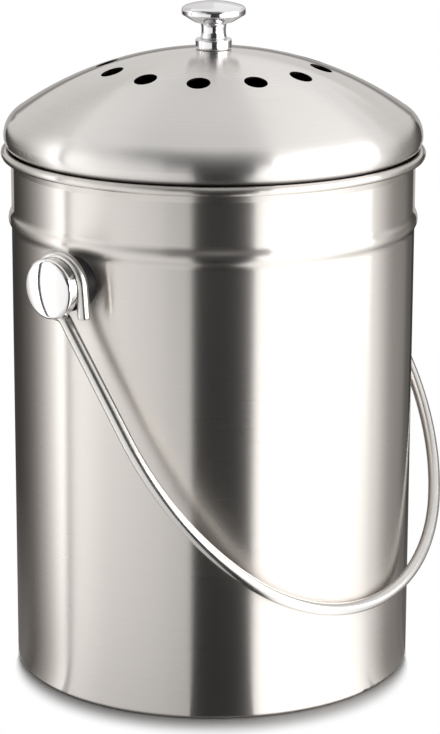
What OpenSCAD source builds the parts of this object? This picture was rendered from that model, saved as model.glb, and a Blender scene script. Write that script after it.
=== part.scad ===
// Countertop compost pail with a lift-off vented lid and a swinging bail handle.
// The pail stands on Z = 0 with its axis on Z. The bail pivots on X and leans on the pail's -Y side.

/* [Pail] */
// Outer diameter of the pail's straight wall
pail_d = 170; // [140:1:200]
// Height of the pail from the table to the top of the rolled rim
pail_h = 224; // [190:1:260]
// Thickness of the sheet steel of the pail and lid
sheet_t = 0.8; // [0.6:0.1:1]
// Radius of the rounded corner between wall and base
base_corner_r = 2; // [1.5:0.5:10]
// Height that the middle of the base is pressed up from the standing ring
base_raise = 1.6; // [1:0.2:3]
// Width of the ring that the pail stands on
foot_ring_w = 16; // [8:1:26]

/* [Rim and bead] */
// Diameter of the rolled curl round the mouth
curl_d = 3.9; // [3.4:0.1:5]
// Distance that the curl stands out from the wall
rim_overhang = 4.25; // [4:0.05:6]
// Height of the flare that leads from the wall into the curl
flare_h = 5; // [4:0.5:8]
// Distance from the top of the rim down to the middle of the raised bead
bead_drop = 29.4; // [19:0.2:32]
// Length of the bead up the wall
bead_l = 9.7; // [8:0.1:12]
// Distance that the bead stands out from the wall
bead_h = 1.3; // [0.8:0.1:1.8]

/* [Lid] */
// Distance from the rim's outer edge in to the lid's widest circle
lid_inset = 1.25; // [0.75:0.25:2]
// Radius of the shallow dome
crown_r = 144.6; // [125:0.2:170]
// Radius of the shoulder between the dome and the widest circle
shoulder_r = 11.6; // [9:0.2:16]
// Radius of the edge that curls under to the rim
under_curl_r = 8.3; // [7:0.1:9]
// Clearance between the lid and the curl that it sits on
seat_gap = 0.35; // [0.3:0.05:0.6]
// Number of vent holes
vent_count = 12; // [8:1:14]
// Diameter of one vent hole
vent_d = 9.7; // [7:0.1:11]
// Diameter of the circle that the vent holes lie on
vent_ring_d = 90.2; // [84:0.2:100]
// Turn of the vent circle about the pail's axis
vent_turn = 3; // [0:1:29]

/* [Lid collar] */
// Depth of the collar below the top of the rim
collar_depth = 15; // [13:0.5:22]
// Clearance between the collar and the inside of the pail
mouth_gap = 0.5; // [0.3:0.1:1]
// Width of the ledge that backs the filter
ledge_w = 7; // [4:0.5:10]

/* [Filter] */
// Thickness of the charcoal filter pad
filter_t = 6; // [4:0.5:7]
// Clearance round the filter pad and its retainer
filter_gap = 0.4; // [0.3:0.1:0.8]
// Height of the retainer ring
retainer_h = 2.6; // [2.2:0.1:3.2]
// Radial width of the retainer ring
retainer_w = 9; // [6:0.5:12]
// Number of snap lugs round the retainer ring
lug_count = 4; // [3:1:6]
// Width of one snap lug
lug_w = 9; // [6:0.5:12]
// Thickness of one snap lug
lug_h = 1.4; // [1:0.1:1.8]
// Clearance between a snap lug and its slot
lug_gap = 0.3; // [0.2:0.1:0.5]

/* [Knob] */
// Diameter of the knob's head
knob_d = 26.8; // [22:0.2:32]
// Height of the straight band round the head
knob_band_h = 3.5; // [2.6:0.1:5]
// Height that the top of the head is crowned
knob_crown_h = 1.8; // [1:0.1:4]
// Height of the tapered underside of the head
knob_under_h = 3.3; // [2.5:0.1:5]
// Diameter of the flat foot under the head, where the taper starts
knob_foot_d = 16; // [14:0.5:20]
// Diameter of the neck at its waist
neck_d = 10.2; // [9:0.1:12]
// Height of the neck between ferrule and head
neck_h = 6.9; // [5:0.1:12]
// Distance that the neck widens at each end
neck_flare = 0.5; // [0.3:0.1:1.4]
// Diameter of the ferrule under the neck
ferrule_d = 15.2; // [13:0.1:18]
// Height of the ferrule
ferrule_h = 4.2; // [3:0.1:6]

/* [Bail] */
// Diameter of the bail's wire
wire_d = 5.2; // [4.5:0.1:5.5]
// Distance from the pail's wall out to the middle of the wire at the ear
wire_reach = 8.9; // [8.8:0.1:12]
// Angle that each arm leans in towards the pail's axis
arm_lean = 2.6; // [0:0.1:3]
// Distance down the arm, from the pivot, at which the side curve starts
straight_l = 67; // [60:1:80]
// Radius of the side curve
side_r = 111; // [105:1:120]
// Angle at which the side curve passes into the middle curve
side_end = 39.5; // [35:0.5:42]
// Distance that the arms run behind the pivot
arm_back = 5.2; // [3:0.1:6.5]
// Radius of the eye, to the middle of the wire
eye_r = 12; // [11.8:0.1:14]
// Radius of the neck bend between eye and arm
neck_bend_r = 5.5; // [4.5:0.1:8]
// Angle short of a full quarter turn at which the eye runs out into the tail
tail_turn = 29; // [20:1:35]
// Length of the straight tail
tail_l = 12.9; // [9:0.1:14]
// Radius of the slight bend that turns each arm in
lean_bend_r = 60; // [30:1:120]
// Clearance between the leaning bail and the wall
rest_gap = 0.3; // [0.3:0.1:1]

/* [Ears] */
// Distance from the top of the rim down to the bail's pivot
ear_drop = 43.8; // [42:0.2:70]
// Diameter of the ear's cap
cap_d = 25; // [22:0.2:30]
// Thickness of the cap at its edge
cap_t = 5; // [3.5:0.1:6]
// Height that the cap's face is crowned
cap_crown_h = 1.4; // [0.6:0.1:2]
// Radius of the cap's outer edge
cap_edge_r = 2; // [0.5:0.1:2.5]
// Clearance each side of the wire in the ear, and round the hub inside the eye
ear_gap = 0.4; // [0.3:0.05:0.6]
// Diameter of the spacer between wall and wire
spacer_d = 22; // [20.5:0.5:23]
// Thickness of the saddle washer inside the wall
ear_washer_t = 1.2; // [1:0.1:2]
// Diameter of the saddle washer inside the wall
ear_washer_d = 14; // [12:0.5:18]

/* [Screws] */
// Diameter of the screws' shanks
screw_d = 4.8; // [4:0.1:5.2]
// Diameter of the screws' heads
head_d = 9; // [8:0.1:10]
// Height of the screws' heads
head_h = 2.6; // [2:0.1:3.5]
// Radial clearance of a screw in the holes that it passes through
screw_gap = 0.2; // [0.1:0.05:0.4]
// Radial clearance of a screw in the blind hole that it drives into
thread_gap = 0.05; // [0.02:0.01:0.1]
// Depth that a screw reaches into its blind hole
screw_bite = 6; // [5:0.5:6.5]
// Space left beyond the end of a screw
hole_spare = 1; // [0.5:0.1:1.5]
// Thickness of the formed washer under the dome
knob_washer_t = 1.2; // [1:0.1:2]
// Diameter of the formed washer under the dome
knob_washer_d = 18; // [14:0.5:24]

/* [Hidden] */
$fn = 120;
wire_fn = 36;
screw_fn = 48;
// How far a cutting shape runs past the surface that it cuts
through = 2;

// Pail
pail_r = pail_d / 2;
wall_in_r = pail_r - sheet_t;
curl_r = curl_d / 2;
curl_cx = pail_r + rim_overhang - curl_r;
curl_cz = pail_h - curl_r;
flare_z = curl_cz - flare_h;
foot_out_r = pail_r - base_corner_r;
foot_in_r = foot_out_r - foot_ring_w;
base_slope_w = 2.5 * base_raise;
// Angle on the curl, counted from +X, at which its edge ends, under the rim
curl_end_a = 235;

// Bead: one outward arc between two inward arcs of the same radius
bead_z = pail_h - bead_drop;
bead_half = bead_l / 2;
bead_r = (bead_half * bead_half + bead_h * bead_h) / (4 * bead_h);
bead_a = asin(bead_half / (2 * bead_r));

// Lid: dome, shoulder and under-curl are arcs that meet tangentially, and the dome laps the shoulder by lap_a
lap_a = 0.02;
lid_r = pail_r + rim_overhang - lid_inset;
under_cx = lid_r - under_curl_r;
shoulder_cx = lid_r - shoulder_r;
seat_reach = under_curl_r + curl_r + seat_gap;
lid_z = curl_cz + sqrt(seat_reach * seat_reach - pow(curl_cx - under_cx, 2));
crown_cz = lid_z - sqrt(pow(crown_r - shoulder_r, 2) - shoulder_cx * shoulder_cx);
crown_a = atan2(lid_z - crown_cz, shoulder_cx);
apex_z = crown_cz + crown_r;

// Lid collar and filter
collar_r = wall_in_r - mouth_gap;
collar_in_r = collar_r - sheet_t;
under_end_a = acos((collar_r - under_cx) / under_curl_r);
collar_top_z = lid_z - under_curl_r * sin(under_end_a);
collar_bottom_z = pail_h - collar_depth;
ledge_z = collar_top_z - sheet_t;
filter_r = collar_in_r - filter_gap;
filter_z = ledge_z - filter_t;
retainer_z = filter_z - retainer_h;
lug_z = retainer_z + (retainer_h - lug_h) / 2;
lug_reach = collar_r - 0.25 * sheet_t;

// Knob, from the apex of the dome upwards
knob_r = knob_d / 2;
neck_r = neck_d / 2;
ferrule_r = ferrule_d / 2;
ferrule_top_z = apex_z + ferrule_h;
head_z = ferrule_top_z + neck_h;
band_z = head_z + knob_under_h;
head_top_z = band_z + knob_band_h;
knob_edge_r = 2;
knob_crown_sphere_r = (pow(knob_r - knob_edge_r, 2) + knob_crown_h * knob_crown_h) / (2 * knob_crown_h);
neck_arc_r = (neck_h * neck_h / 4 + neck_flare * neck_flare) / (2 * neck_flare);

// Ear stack, counted outwards along X
ear_z = pail_h - ear_drop;
wire_r = wire_d / 2;
// Short straight left between two bends, and how far and how much thinner a straight runs into a bend
joint_l = 0.3;
joint_lap = 0.25;
joint_step = 0.01;
wire_x = pail_r + wire_reach;
spacer_face_x = wire_x - wire_r - ear_gap;
cap_face_x = wire_x + wire_r + ear_gap;
cap_r = cap_d / 2;
hub_r = eye_r - wire_r - ear_gap;
cap_dome_r = (pow(cap_r - cap_edge_r, 2) + cap_crown_h * cap_crown_h) / (2 * cap_crown_h);
ear_washer_x = wall_in_r - ear_washer_t;

// Bail, in its own plane: Z down the arms is negative and the arms lie at Y = arm_back
eye_to_neck_r = eye_r + neck_bend_r;
neck_a = acos((arm_back + neck_bend_r) / norm([eye_to_neck_r, joint_l])) - atan2(joint_l, eye_to_neck_r);
arm_top = eye_to_neck_r * sin(neck_a) + joint_l * cos(neck_a) + joint_l;
lean_cl = arm_top + lean_bend_r * sin(arm_lean);
lean_x = wire_x - lean_bend_r * (1 - cos(arm_lean));
arm_run = (straight_l - lean_cl) / cos(arm_lean);
side_x = lean_x - arm_run * sin(arm_lean);
side_cx = side_x - side_r * cos(arm_lean);
side_cl = straight_l - side_r * sin(arm_lean);
mid_r = (side_cx + side_r * cos(side_end) - joint_l * sin(side_end)) / cos(side_end);
mid_cl = side_cl + (side_r - mid_r) * sin(side_end) + joint_l * cos(side_end);
bail_l = mid_cl + mid_r;
// Lean at which the middle of the bail clears the wall by rest_gap
bail_lean = asin((pail_r + wire_r + rest_gap) / norm([bail_l, arm_back])) + atan2(arm_back, bail_l);

// Screws
screw_r = screw_d / 2;
head_r = head_d / 2;
pass_r = screw_r + screw_gap;
blind_r = screw_r + thread_gap;
recess_w = 1;
recess_l = 5;
recess_depth = 1.4;

// A pie slice from angle a0 to a1 whose edge lies outside radius r
module slice(r, a0, a1) {
    steps = ceil((a1 - a0) / 30);
    edge = [for (i = [0:steps]) a0 + (a1 - a0) * i / steps];
    polygon(concat([[0, 0]], [for (a = edge) 1.2 * r * [cos(a), sin(a)]]));
}

// A bent strip of sheet: outer radius r, thickness t, from angle a0 to a1
module bend(r, t, a0, a1) {
    intersection() {
        difference() {
            circle(r);
            circle(r - t);
        }
        slice(r, a0, a1);
    }
}

// Both ears: the child is drawn for the +X side and turned half a turn for the -X side
module on_ear(side) {
    mirror([side == "left" ? 1 : 0, 0, 0]) translate([0, 0, ear_z]) children();
}

// Turns a shape drawn up the Z axis to point out along X
module outward() {
    rotate([0, 90, 0]) children();
}

module bead_section() {
    translate([pail_r + bead_h - bead_r, bead_z]) bend(bead_r, sheet_t, -bead_a, bead_a);
    translate([pail_r + bead_r, bead_z + bead_half])
        bend(bead_r + sheet_t, sheet_t, 180, 180 + bead_a);
    translate([pail_r + bead_r, bead_z - bead_half])
        bend(bead_r + sheet_t, sheet_t, 180 - bead_a, 180);
}

module base_section() {
    slope_in_r = foot_in_r - base_slope_w;
    translate([0, base_raise]) square([slope_in_r, sheet_t]);
    polygon([
        [slope_in_r, base_raise], [foot_in_r, 0], [foot_in_r, sheet_t],
        [slope_in_r, base_raise + sheet_t]
    ]);
    translate([foot_in_r, 0]) square([foot_ring_w, sheet_t]);
    translate([foot_out_r, base_corner_r]) bend(base_corner_r, sheet_t, -90, 0);
}

module rim_section() {
    polygon([
        [wall_in_r, flare_z], [pail_r, flare_z], [curl_cx - curl_r + sheet_t, curl_cz],
        [curl_cx - curl_r, curl_cz]
    ]);
    translate([curl_cx, curl_cz]) bend(curl_r, sheet_t, curl_end_a - 360, 180);
}

module pail_section() {
    base_section();
    translate([wall_in_r, base_corner_r]) square([sheet_t, bead_z - bead_half - base_corner_r]);
    bead_section();
    translate([wall_in_r, bead_z + bead_half]) square([sheet_t, flare_z - bead_z - bead_half]);
    rim_section();
}

module pail_shell() {
    color("silver") difference() {
        rotate_extrude() pail_section();
        for (side = ["left", "right"])
            on_ear(side) translate([wall_in_r - through, 0, 0]) outward()
                cylinder(r = pass_r, h = sheet_t + 2 * through);
    }
}

// The spacer's inner end is a saddle that follows the round wall
module ear_spacer(side) {
    color("black") difference() {
        on_ear(side) translate([pail_r - through, 0, 0]) outward()
            difference() {
                cylinder(d = spacer_d, h = spacer_face_x - pail_r + through);
                translate([0, 0, -through]) cylinder(r = pass_r, h = spacer_face_x - pail_r + 3 * through);
            }
        cylinder(r = pail_r, h = pail_h, $fn = 180);
    }
}

module cap_section() {
    hub_l = cap_face_x - spacer_face_x;
    square([hub_r, hub_l]);
    translate([0, hub_l]) {
        square([cap_r - cap_edge_r, cap_t]);
        square([cap_r, cap_t - cap_edge_r]);
        translate([cap_r - cap_edge_r, cap_t - cap_edge_r]) circle(cap_edge_r);
        intersection() {
            translate([0, cap_t + cap_crown_h - cap_dome_r]) circle(cap_dome_r);
            square([cap_r - cap_edge_r, cap_t + cap_crown_h]);
        }
    }
}

module ear_cap(side) {
    color("white") on_ear(side) translate([spacer_face_x, 0, 0]) outward()
        difference() {
            rotate_extrude() cap_section();
            translate([0, 0, -through]) cylinder(r = blind_r, h = through + screw_bite + hole_spare);
        }
}

// A washer that is flat towards the screw's head and follows the wall on its other face
module ear_washer(side) {
    color("gray") intersection() {
        on_ear(side) translate([ear_washer_x, 0, 0]) outward()
            difference() {
                cylinder(d = ear_washer_d, h = ear_washer_t + through);
                translate([0, 0, -through]) cylinder(r = pass_r, h = ear_washer_t + 3 * through);
            }
        cylinder(r = wall_in_r, h = pail_h, $fn = 180);
    }
}

// A pan-head screw with a cross recess, its head below Z = 0 and its shank of length l above
module pan_screw(l) {
    difference() {
        union() {
            cylinder(r = screw_r, h = l, $fn = screw_fn);
            translate([0, 0, -head_h / 2]) cylinder(r = head_r, h = head_h / 2, $fn = screw_fn);
            translate([0, 0, -head_h / 2]) mirror([0, 0, 1])
                cylinder(r1 = head_r, r2 = head_r - head_h / 2, h = head_h / 2, $fn = screw_fn);
        }
        for (turn = [0, 90])
            rotate([0, 0, turn]) translate([-recess_l / 2, -recess_w / 2, -head_h - through])
                cube([recess_l, recess_w, recess_depth + through]);
    }
}

module ear_screw(side) {
    color("gray") on_ear(side) translate([ear_washer_x, 0, 0]) outward()
        pan_screw(spacer_face_x + screw_bite - ear_washer_x);
}

// A straight length of wire up the Z axis, from whose end the children carry on
module wire_run(l) {
    translate([0, 0, -joint_lap])
        cylinder(r = wire_r - joint_step, h = l + 2 * joint_lap, $fn = wire_fn);
    translate([0, 0, l]) children();
}

// A bend of the wire from Z towards X, from whose end the children carry on
module wire_turn(r, a) {
    translate([r, 0, 0]) rotate([90, 0, 0]) rotate([0, 0, 180 - a])
        rotate_extrude(angle = a) translate([r, 0]) circle(wire_r, $fn = wire_fn);
    translate([r, 0, 0]) rotate([0, a, 0]) translate([-r, 0, 0]) children();
}

// One side of the bail from its middle curve up: side curve, arm, neck bend, eye and tail
module bail_side() {
    translate([0, arm_back, -mid_cl]) rotate([0, side_end, 0]) translate([mid_r, 0, 0]) rotate([0, 0, 180])
        wire_run(joint_l) wire_turn(side_r, side_end - arm_lean)
            wire_run(arm_run) wire_turn(lean_bend_r, arm_lean)
                wire_run(joint_l) rotate([0, 0, -90]) wire_turn(neck_bend_r, neck_a)
                    wire_run(joint_l) rotate([0, 0, 180]) wire_turn(eye_r, 180 + neck_a + tail_turn)
                        wire_run(tail_l);
}

module bail_handle() {
    color("whitesmoke") translate([0, 0, ear_z]) rotate([-bail_lean, 0, 0]) {
        bail_side();
        mirror([1, 0, 0]) bail_side();
        translate([0, arm_back, -mid_cl]) rotate([-90, 0, 0]) rotate([0, 0, side_end])
            rotate_extrude(angle = 180 - 2 * side_end) translate([mid_r, 0]) circle(wire_r, $fn = wire_fn);
    }
}

module dome_section() {
    translate([0, crown_cz]) bend(crown_r, sheet_t, crown_a - lap_a, 90);
    translate([shoulder_cx, lid_z]) bend(shoulder_r, sheet_t, 0, crown_a);
    // The under-curl is trimmed flat where the collar is welded on
    difference() {
        translate([under_cx, lid_z]) bend(under_curl_r, sheet_t, -90, 0);
        translate([under_cx - through, collar_top_z - under_curl_r]) square([2 * under_curl_r, under_curl_r]);
    }
}

module lid_dome() {
    vent_tilt = asin(vent_ring_d / 2 / crown_r);
    color("silver") difference() {
        rotate_extrude() dome_section();
        for (i = [0:vent_count - 1])
            translate([0, 0, crown_cz]) rotate([0, 0, vent_turn + i * 360 / vent_count])
                rotate([0, vent_tilt, 0]) translate([0, 0, crown_r - sheet_t - through])
                    cylinder(d = vent_d, h = sheet_t + 2 * through);
        translate([0, 0, apex_z - sheet_t - through]) cylinder(r = pass_r, h = sheet_t + 2 * through);
    }
}

module lid_collar() {
    color("silver") difference() {
        rotate_extrude() {
            translate([collar_in_r, collar_bottom_z])
                square([sheet_t, collar_top_z - collar_bottom_z]);
            translate([collar_in_r - ledge_w, ledge_z]) square([ledge_w, sheet_t]);
        }
        for (i = [0:lug_count - 1])
            rotate([0, 0, i * 360 / lug_count])
                translate([collar_in_r - through, -lug_w / 2 - lug_gap, lug_z - lug_gap])
                    cube([sheet_t + 2 * through, lug_w + 2 * lug_gap, lug_h + 2 * lug_gap]);
    }
}

module filter_pad() {
    color("dimgray") translate([0, 0, filter_z]) cylinder(r = filter_r, h = filter_t);
}

module filter_retainer() {
    color("black") {
        translate([0, 0, retainer_z]) rotate_extrude()
            translate([filter_r - retainer_w, 0]) square([retainer_w, retainer_h]);
        for (i = [0:lug_count - 1])
            rotate([0, 0, i * 360 / lug_count]) intersection() {
                translate([filter_r - retainer_w / 2, -lug_w / 2, lug_z])
                    cube([retainer_w, lug_w, lug_h]);
                cylinder(r = lug_reach, h = pail_h);
            }
    }
}

module knob_ferrule() {
    color("white") difference() {
        translate([0, 0, apex_z - through]) cylinder(r = ferrule_r, h = ferrule_h + through);
        translate([0, 0, crown_cz]) sphere(crown_r, $fn = 360);
        translate([0, 0, apex_z - through]) cylinder(r = pass_r, h = ferrule_h + 2 * through);
    }
}

// The neck is waisted by an arc, and the head is a crowned disc that tapers to a flat foot
module knob_section() {
    difference() {
        translate([0, ferrule_top_z]) square([neck_r + neck_flare, neck_h]);
        translate([neck_r + neck_arc_r, ferrule_top_z + neck_h / 2]) circle(neck_arc_r);
    }
    polygon([[0, head_z], [knob_foot_d / 2, head_z], [knob_r, band_z], [0, band_z]]);
    translate([0, band_z]) square([knob_r, knob_band_h - knob_edge_r]);
    translate([0, band_z]) square([knob_r - knob_edge_r, knob_band_h]);
    translate([knob_r - knob_edge_r, head_top_z - knob_edge_r]) circle(knob_edge_r);
    intersection() {
        translate([0, head_top_z + knob_crown_h - knob_crown_sphere_r]) circle(knob_crown_sphere_r);
        translate([0, band_z]) square([knob_r - knob_edge_r, knob_band_h + knob_crown_h]);
    }
}

module lid_knob() {
    color("white") difference() {
        rotate_extrude() knob_section();
        translate([0, 0, ferrule_top_z - through])
            cylinder(r = blind_r, h = through + screw_bite + hole_spare);
    }
}

// A washer whose upper face follows the underside of the dome
module knob_washer() {
    under_z = apex_z - sheet_t - knob_washer_t;
    color("gray") intersection() {
        translate([0, 0, under_z]) difference() {
            cylinder(d = knob_washer_d, h = knob_washer_t);
            translate([0, 0, -through]) cylinder(r = pass_r, h = knob_washer_t + 2 * through);
        }
        translate([0, 0, crown_cz]) sphere(crown_r - sheet_t, $fn = 360);
    }
}

module knob_screw() {
    under_z = apex_z - sheet_t - knob_washer_t;
    color("gray") translate([0, 0, under_z]) pan_screw(ferrule_top_z + screw_bite - under_z);
}

pail_shell();
ear_spacer("left");  // left_ear_spacer
ear_spacer("right");  // right_ear_spacer
ear_cap("left");  // left_ear_cap
ear_cap("right");  // right_ear_cap
ear_washer("left");  // left_ear_washer
ear_washer("right");  // right_ear_washer
ear_screw("left");  // left_ear_screw
ear_screw("right");  // right_ear_screw
bail_handle();
lid_dome();
lid_collar();
filter_pad();
filter_retainer();
knob_ferrule();
lid_knob();
knob_washer();
knob_screw();
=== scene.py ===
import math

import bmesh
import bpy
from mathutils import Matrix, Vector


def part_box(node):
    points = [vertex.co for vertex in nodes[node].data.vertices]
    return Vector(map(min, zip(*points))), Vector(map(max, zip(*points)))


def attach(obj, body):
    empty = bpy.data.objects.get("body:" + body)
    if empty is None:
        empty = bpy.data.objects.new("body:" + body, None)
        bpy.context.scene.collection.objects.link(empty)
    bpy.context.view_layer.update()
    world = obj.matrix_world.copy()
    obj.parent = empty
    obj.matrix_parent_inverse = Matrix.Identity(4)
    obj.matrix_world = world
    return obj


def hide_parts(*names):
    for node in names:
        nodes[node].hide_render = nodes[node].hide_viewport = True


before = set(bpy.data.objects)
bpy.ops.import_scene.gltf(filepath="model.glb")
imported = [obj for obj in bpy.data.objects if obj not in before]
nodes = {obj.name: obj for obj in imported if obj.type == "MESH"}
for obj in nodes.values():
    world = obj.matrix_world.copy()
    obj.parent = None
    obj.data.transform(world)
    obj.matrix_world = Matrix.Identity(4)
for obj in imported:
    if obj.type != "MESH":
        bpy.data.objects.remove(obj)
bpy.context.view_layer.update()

# %% [markdown]
# # A stainless steel compost pail, dressed for the studio
# The sheet-steel pieces come from the exact model and only get their finish here. The pieces that a turner,
# a wire bender or a felt cutter makes are built again with Blender's own mesh tools, because their small
# rounded edges carry the highlights that make polished metal look real.

scene = bpy.context.scene

# %% [markdown]
# ## The camera
# A pail like this is pictured with a long lens from a little above, so that the dome and its vent holes show
# while the wall stays nearly straight. The camera stands 1.2 m from the pail's axis and 0.45 m above the
# table, and looks 15 degrees down. The long side of the sensor is 36 mm, so a 141 mm lens gives the narrow
# view. A very small shift puts the pail a little left of the middle and leaves room for the handle.

# %% Place the camera
CAMERA_TURN = math.radians(-49.3)
CAMERA_DISTANCE = 1.1944
CAMERA_HEIGHT = 0.4497
LOOK_DOWN = math.radians(15.101)
CAMERA_ROLL = math.radians(0.157)
SENSOR_WIDTH_MM, LENS_MM = 36.0, 141.446
SHIFT_X, SHIFT_Y = 0.0099, 0.0007
FAR_CLIP = 20.0

camera_data = bpy.data.cameras.new("studio_camera")
camera_data.sensor_width = SENSOR_WIDTH_MM
camera_data.lens = LENS_MM
camera_data.shift_x = SHIFT_X
camera_data.shift_y = SHIFT_Y
camera_data.clip_end = FAR_CLIP
camera = bpy.data.objects.new("studio_camera", camera_data)
camera_place = Vector((math.sin(CAMERA_TURN), -math.cos(CAMERA_TURN), 0)) * CAMERA_DISTANCE
camera_place.z = CAMERA_HEIGHT
camera.matrix_world = (
    Matrix.Translation(camera_place)
    @ Matrix.Rotation(CAMERA_TURN, 4, "Z")
    @ Matrix.Rotation(math.pi / 2 - LOOK_DOWN, 4, "X")
    @ Matrix.Rotation(CAMERA_ROLL, 4, "Z")
)
scene.collection.objects.link(camera)
scene.camera = camera
print("camera at", [round(v, 3) for v in camera_place], "with a", round(camera_data.lens, 1), "mm lens")

# %% [markdown]
# ## Helpers for node materials
# Every finish below is a node tree. A few small helpers keep them short to read. One adds a node and sets
# its plain values, one makes a new material and hands back its tree and its Principled shader, and the
# others wrap the nodes that come up again and again: sums, ranges, noise, mixed colours and bumps.

# %% Node helpers
def add_node(tree, kind, inputs=(), **settings):
    node = tree.nodes.new(kind)
    for key, value in settings.items():
        setattr(node, key, value)
    for key, value in dict(inputs).items():
        if isinstance(value, bpy.types.NodeSocket):
            tree.links.new(value, node.inputs[key])
        else:
            node.inputs[key].default_value = value
    return node


def new_finish(name):
    finish = bpy.data.materials.new(name)
    finish.use_nodes = True
    tree = finish.node_tree
    return finish, tree, tree.nodes["Principled BSDF"]


def maths(tree, operation, first, second):
    return add_node(tree, "ShaderNodeMath", {0: first, 1: second}, operation=operation).outputs[0]


def vector_maths(tree, operation, *vectors):
    node = add_node(tree, "ShaderNodeVectorMath", dict(enumerate(vectors)), operation=operation)
    return node.outputs["Value" if operation in ("LENGTH", "DISTANCE", "DOT_PRODUCT") else "Vector"]


def stretched(tree, value, from_low, from_high, to_low, to_high, kind="LINEAR"):
    """The value, moved from one range to another and held at its ends."""
    return add_node(tree, "ShaderNodeMapRange", {"Value": value, "From Min": from_low, "From Max": from_high,
                    "To Min": to_low, "To Max": to_high}, interpolation_type=kind).outputs["Result"]


def between(tree, value, low, high):
    """A noise, whose values lie mostly from a quarter to three quarters, made to run from low to high."""
    return stretched(tree, value, 0.25, 0.75, low, high)


def noise(tree, place, scale, detail, **more):
    inputs = {"Vector": place, "Scale": scale, "Detail": detail, **more}
    return add_node(tree, "ShaderNodeTexNoise", inputs).outputs[0]


def mixed(tree, share, first, second):
    return add_node(tree, "ShaderNodeMix", {0: share, 6: first, 7: second}, data_type="RGBA").outputs[2]


def raise_surface(tree, shader, height, depth, strength=1.0):
    relief = add_node(tree, "ShaderNodeBump", {"Height": height, "Strength": strength, "Distance": depth})
    tree.links.new(relief.outputs[0], shader.inputs["Normal"])


print("node helpers made")

# %% [markdown]
# ## Brushed steel: the scratches and the dark places
# The pail and the dome are brushed while they turn, so each fine scratch runs round the axis. The scratches
# are noise that is stretched round the axis. Its coordinate across the scratches is the radius minus the
# height: this grows steadily down the wall and also outwards over the dome, so one finish suits both.
#
# Almost no light comes back from the inside of the dome or from the walls of its vent holes, so the finish
# paints them with dark shade. A face there points towards the middle of the pail, and the dot product of its
# normal with the direction out of the middle tells it from an outer face. The walls of the holes point
# sideways, so near the top of the dome, where the holes are, the limit is stricter.

# %% Find the scratches and the dark places
HAIR_SCALE, HAIR_DETAIL, HAIR_ROUGHNESS = 14.0, 6.0, 0.72
PAIL_MIDDLE = (0, 0, 0.1)
VENTS_WITHIN, NO_VENTS_BEYOND = 0.052, 0.056
VENT_LIMIT, PLAIN_LIMIT, LIMIT_BLUR = 0.45, -0.05, 0.05


def direction_round_axis(tree, x, y):
    minus_y = maths(tree, "MULTIPLY", y, -1.0)
    return add_node(tree, "ShaderNodeCombineXYZ", {"X": minus_y, "Y": x}).outputs[0]


def round_scratches(tree, x, y, z, radius, grain):
    across = maths(tree, "SUBTRACT", radius, z)
    wide = maths(tree, "MULTIPLY", across, grain)
    drawn_out = add_node(tree, "ShaderNodeCombineXYZ", {"X": x, "Y": y, "Z": wide}).outputs[0]
    return noise(tree, drawn_out, HAIR_SCALE, HAIR_DETAIL, Roughness=HAIR_ROUGHNESS)


def inside_of_dome(tree, place, radius):
    """Where shade is painted: 1 on the inside of the dome and in its vent holes, 0 on its outside."""
    from_middle = vector_maths(tree, "SUBTRACT", place, PAIL_MIDDLE)
    out_of_middle = vector_maths(tree, "NORMALIZE", from_middle)
    faces = add_node(tree, "ShaderNodeTexCoord").outputs["Normal"]
    outwards = vector_maths(tree, "DOT_PRODUCT", faces, out_of_middle)
    limit = stretched(tree, radius, VENTS_WITHIN, NO_VENTS_BEYOND, VENT_LIMIT, PLAIN_LIMIT)
    past_limit = maths(tree, "SUBTRACT", outwards, limit)
    return stretched(tree, past_limit, -LIMIT_BLUR, LIMIT_BLUR, 1.0, 0.0)


print("scratches run round the axis; no vent hole is sought beyond", NO_VENTS_BEYOND * 1000, "mm of it")

# %% [markdown]
# ## Brushed steel: the finish
# Scratches spread a highlight across themselves and hardly along themselves, which draws the long upright
# streaks on the wall. An anisotropic shader does this. It needs the direction round the axis, (-y, x, 0), as
# its tangent, and a quarter turn of the anisotropy, because the shader stretches highlights along the
# tangent. Seen at a slant, the scratches hide behind each other and steel mirrors more keenly, so the
# roughness falls towards the outline. The noise changes the tone, the roughness and, through a bump, the
# surface a little. A thin seam of painted shade darkens the colour where the lid meets the rim and where the
# pail meets the table.

# %% Make the brushed finish
# The colour of the painted shade, for the seams and for the inside of the dome
PAINTED_SHADE = (0.02, 0.018, 0.017, 1)
DEEPEST_PAINTED_SHADE = 0.9
WEAR_SCALE, WEAR_DETAIL = 9.0, 2.0
SLANT_STARTS, SLANT_ENDS, ROUGHNESS_KEPT = 0.55, 0.85, 0.3
QUARTER_TURN = 0.25


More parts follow.
